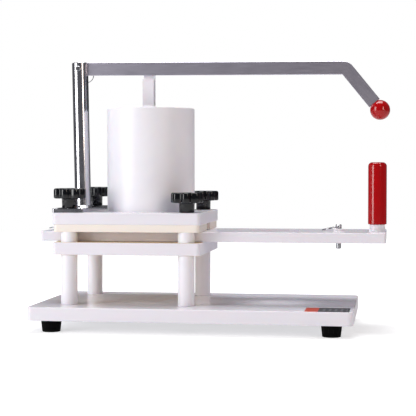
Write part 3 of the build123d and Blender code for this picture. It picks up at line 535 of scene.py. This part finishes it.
ringTree = splitRingTree()
for node, tilt in splitRing["tilts"].items():
    low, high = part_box(node)
    middle = (low + high) / 2
    outer = (high.y - low.y) / 2 if tilt is not None else (high.z - low.z) / 2
    radius = outer - 2 * splitRing["wireRadius"] * splitRing["edgeMargin"]
    piece = makeFromTree(node.replace("_", "") + "Coil", ringTree, {
        "Turns": splitRing["turns"], "Radius": radius, "Wire": splitRing["wireRadius"],
        "Steps": splitRing["stepsPerTurn"], "Finish": finishes["wire"]}, finishes["wire"])
    toMiddle = Matrix.Translation((0, 0, -splitRing["wireRadius"]))
    if tilt is None:
        turn = Matrix.Rotation(pi / 2, 4, "X") @ Matrix.Rotation(splitRing["uprightSeamTurn"], 4, "Z")
    else:
        turn = Matrix.Rotation(-radians(tilt), 4, "Y") @ Matrix.Rotation(splitRing["seamTurn"], 4, "Z")
    placed(piece, Matrix.Translation(middle) @ turn @ toMiddle)
    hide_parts(node)
    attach(piece, bodyOf[node])
print("split rings are made")


weldBead = {
    "count": 26, "length": 3.0 * millimetre, "width": 1.7 * millimetre, "height": 1.3 * millimetre, "seed": 4,
    "smallest": 0.86, "largest": 1.08, "footRadius": 12.5 * millimetre, "coneReach": 2.5 * millimetre,
    "clear": 0.7 * millimetre, "above": 0.9 * millimetre,
}


def weldTree():
    tree, given, out = startTree("weldRipples", {
        "Count": ("NodeSocketInt", 26), "Radius": ("NodeSocketFloat", 0.0135), "Length": ("NodeSocketFloat", 0.003),
        "Width": ("NodeSocketFloat", 0.002), "Height": ("NodeSocketFloat", 0.0017), "Seed": ("NodeSocketInt", 4),
        "Finish": ("NodeSocketMaterial", None)})
    path = addNode(tree, "GeometryNodeCurvePrimitiveCircle", {"Resolution": 64}, {"Radius": given["Radius"]}).outputs[0]
    spots = addNode(tree, "GeometryNodeCurveToPoints", {"mode": "COUNT"}, {"Curve": path, "Count": given["Count"]})
    bead = addNode(tree, "GeometryNodeMeshIcoSphere", {"Radius": 0.5, "Subdivisions": 3}).outputs[0]
    size = addNode(tree, "ShaderNodeCombineXYZ", links={
        "X": given["Width"], "Y": given["Height"], "Z": given["Length"]}).outputs[0]
    uneven = addNode(tree, "FunctionNodeRandomValue", {
        "data_type": "FLOAT", 2: weldBead["smallest"], 3: weldBead["largest"]}, {"Seed": given["Seed"]}).outputs[1]
    scale = addNode(tree, "ShaderNodeVectorMath", {"operation": "SCALE"}, {0: size, "Scale": uneven}).outputs[0]
    beads = addNode(tree, "GeometryNodeInstanceOnPoints", links={
        "Points": spots.outputs["Points"], "Instance": bead, "Rotation": spots.outputs["Rotation"],
        "Scale": scale}).outputs[0]
    real = addNode(tree, "GeometryNodeRealizeInstances", links={0: beads}).outputs[0]
    smooth = addNode(tree, "GeometryNodeSetShadeSmooth", links={"Geometry": real}).outputs[0]
    dressed = addNode(tree, "GeometryNodeSetMaterial", links={
        "Geometry": smooth, "Material": given["Finish"]}).outputs[0]
    tree.links.new(dressed, out)
    return tree


postLow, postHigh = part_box("post")
# the weld cone is the post's widest place, and it is at the foot
footX = postHigh.x - weldBead["footRadius"] - weldBead["coneReach"]
weld = makeFromTree("postFootWeld", weldTree(), {
    "Count": weldBead["count"], "Radius": weldBead["footRadius"] + weldBead["clear"], "Length": weldBead["length"],
    "Width": weldBead["width"], "Height": weldBead["height"], "Seed": weldBead["seed"],
    "Finish": finishes["weld"]}, finishes["weld"])
placed(weld, Matrix.Translation((footX, (postLow.y + postHigh.y) / 2, postLow.z + weldBead["above"])))
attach(weld, bodyOf["post"])
print("weld is made")


studio = {
    "floorRadius": 3.0, "floorGlow": 0.52, "edgeGlow": 1.0, "glowFrom": 0.24, "glowTo": 0.62,
    "roomGlow": 0.15, "bounceShare": 0.3, "backGlow": 1.0,
    "keyPlace": (-1.6, -1.15, 0.75), "keySize": (0.9, 1.5), "keyPower": 29.0,
    "fillPlace": (1.55, -1.6, 1.0), "fillSize": (0.45, 1.3), "fillPower": 14.5, "fillColour": "#ffeedd",
    "topPlace": (0.0, 0.25, 1.9), "topSize": (1.5, 0.9), "topPower": 30.0,
    "aim": (0, 0, 0.18), "paperColour": "#d6d7d8", "roomColour": "#e9ebf4",
}


def softbox(name, power, colour="#ffffff"):
    place, (width, height) = studio[name + "Place"], studio[name + "Size"]
    light = bpy.data.lights.new(name + "Softbox", "AREA")
    light.shape, light.size, light.size_y = "RECTANGLE", width, height
    light.energy, light.color = power, linear(colour)[:3]
    holder = bpy.data.objects.new(name + "Softbox", light)
    holder.location = place
    holder.rotation_euler = (Vector(studio["aim"]) - Vector(place)).to_track_quat("-Z", "Y").to_euler()
    bpy.context.scene.collection.objects.link(holder)


def paperFloor():
    # a round of white paper that glows more towards its rim, so that it runs into the white room
    mesh = bpy.data.meshes.new("paperFloor")
    rim = bmesh.new()
    bmesh.ops.create_circle(rim, cap_ends=True, segments=96, radius=studio["floorRadius"])
    rim.to_mesh(mesh)
    rim.free()
    floor = bpy.data.objects.new("paperFloor", mesh)
    bpy.context.scene.collection.objects.link(floor)
    material, tree, shader, place = startMaterial("whitePaper", {
        "Base Color": linear(studio["paperColour"]), "Roughness": 0.85, "Specular IOR Level": 0.1,
        "Emission Color": linear("#ffffff")})
    out = addNode(tree, "ShaderNodeVectorMath", {"operation": "LENGTH"}, {0: place}).outputs["Value"]
    glow = addNode(tree, "ShaderNodeMapRange", {
        "interpolation_type": "SMOOTHSTEP", "From Min": studio["glowFrom"], "From Max": studio["glowTo"],
        "To Min": studio["floorGlow"], "To Max": studio["edgeGlow"]}, {"Value": out}).outputs["Result"]
    # what the press mirrors and is lit by is dimmer than what shows behind it
    seen = addNode(tree, "ShaderNodeLightPath").outputs["Is Camera Ray"]
    share = addNode(tree, "ShaderNodeMapRange", {"To Min": studio["bounceShare"], "To Max": 1.0},
                    {"Value": seen}).outputs["Result"]
    strength = addNode(tree, "ShaderNodeMath", {"operation": "MULTIPLY"}, {0: glow, 1: share}).outputs[0]
    tree.links.new(strength, shader.inputs["Emission Strength"])
    floor.data.materials.append(material)


def studioWorld():
    # the room is dark but for the softboxes, and its far wall shows white behind the press
    world = bpy.data.worlds.new("studioWorld")
    bpy.context.scene.world = world
    world.use_nodes = True
    tree = world.node_tree
    tree.nodes.clear()
    room = addNode(tree, "ShaderNodeBackground", {
        "Color": linear(studio["roomColour"]), "Strength": studio["roomGlow"]}).outputs[0]
    wall = addNode(tree, "ShaderNodeBackground", {
        "Color": linear("#ffffff"), "Strength": studio["backGlow"]}).outputs[0]
    seen = addNode(tree, "ShaderNodeLightPath").outputs["Is Camera Ray"]
    both = addNode(tree, "ShaderNodeMixShader", links={0: seen, 1: room, 2: wall}).outputs[0]
    addNode(tree, "ShaderNodeOutputWorld", links={"Surface": both})


paperFloor()
studioWorld()
softbox("key", studio["keyPower"])
softbox("fill", studio["fillPower"], studio["fillColour"])
softbox("top", studio["topPower"])


viewpoint = {"place": (0.26991, -1.85436, 0.23775), "turn": 0.1504, "down": 0.0299, "roll": 0.0003,
             "lens": 105.33, "sensor": 36.0, "near": 0.05, "far": 50.0}

camera = bpy.data.objects.new("viewCamera", bpy.data.cameras.new("viewCamera"))
camera.data.sensor_fit, camera.data.sensor_width = "HORIZONTAL", viewpoint["sensor"]
camera.data.lens = viewpoint["lens"]
camera.data.clip_start, camera.data.clip_end = viewpoint["near"], viewpoint["far"]
camera.location = viewpoint["place"]
camera.rotation_euler = (pi / 2 - viewpoint["down"], viewpoint["roll"], viewpoint["turn"])
bpy.context.scene.collection.objects.link(camera)
bpy.context.scene.camera = camera
bpy.context.scene.view_settings.view_transform = "Standard"
print("studio and camera are set")
